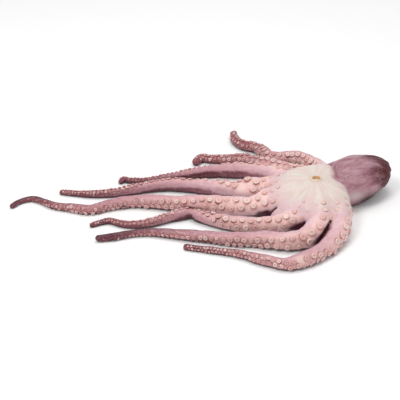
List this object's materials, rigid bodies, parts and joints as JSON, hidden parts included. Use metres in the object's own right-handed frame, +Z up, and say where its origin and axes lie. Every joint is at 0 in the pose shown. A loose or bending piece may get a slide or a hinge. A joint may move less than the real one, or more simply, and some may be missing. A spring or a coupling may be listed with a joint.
{
  "type": "whole octopus",
  "caption": "Whole raw octopus lying mouth side up on a flat surface, its suckered arms swept to one side and its rounded mantle behind the crown.",
  "frame": {"origin": "middle of the bounding box, on the surface the octopus lies on", "axes": "+Z up, with the mouth facing up; +X from the arm tips towards the mantle; +Y towards the raised back rim of the crown"},
  "size_m": [0.6855, 0.4956, 0.0725],
  "materials": {
    "octopus_skin": "moist smooth skin, ivory at the mouth, pink to mauve on the arms, purple on the mantle"
  },
  "bodies": {
    "root": {"octopus": "octopus_skin"}
  },
  "joints": []
}
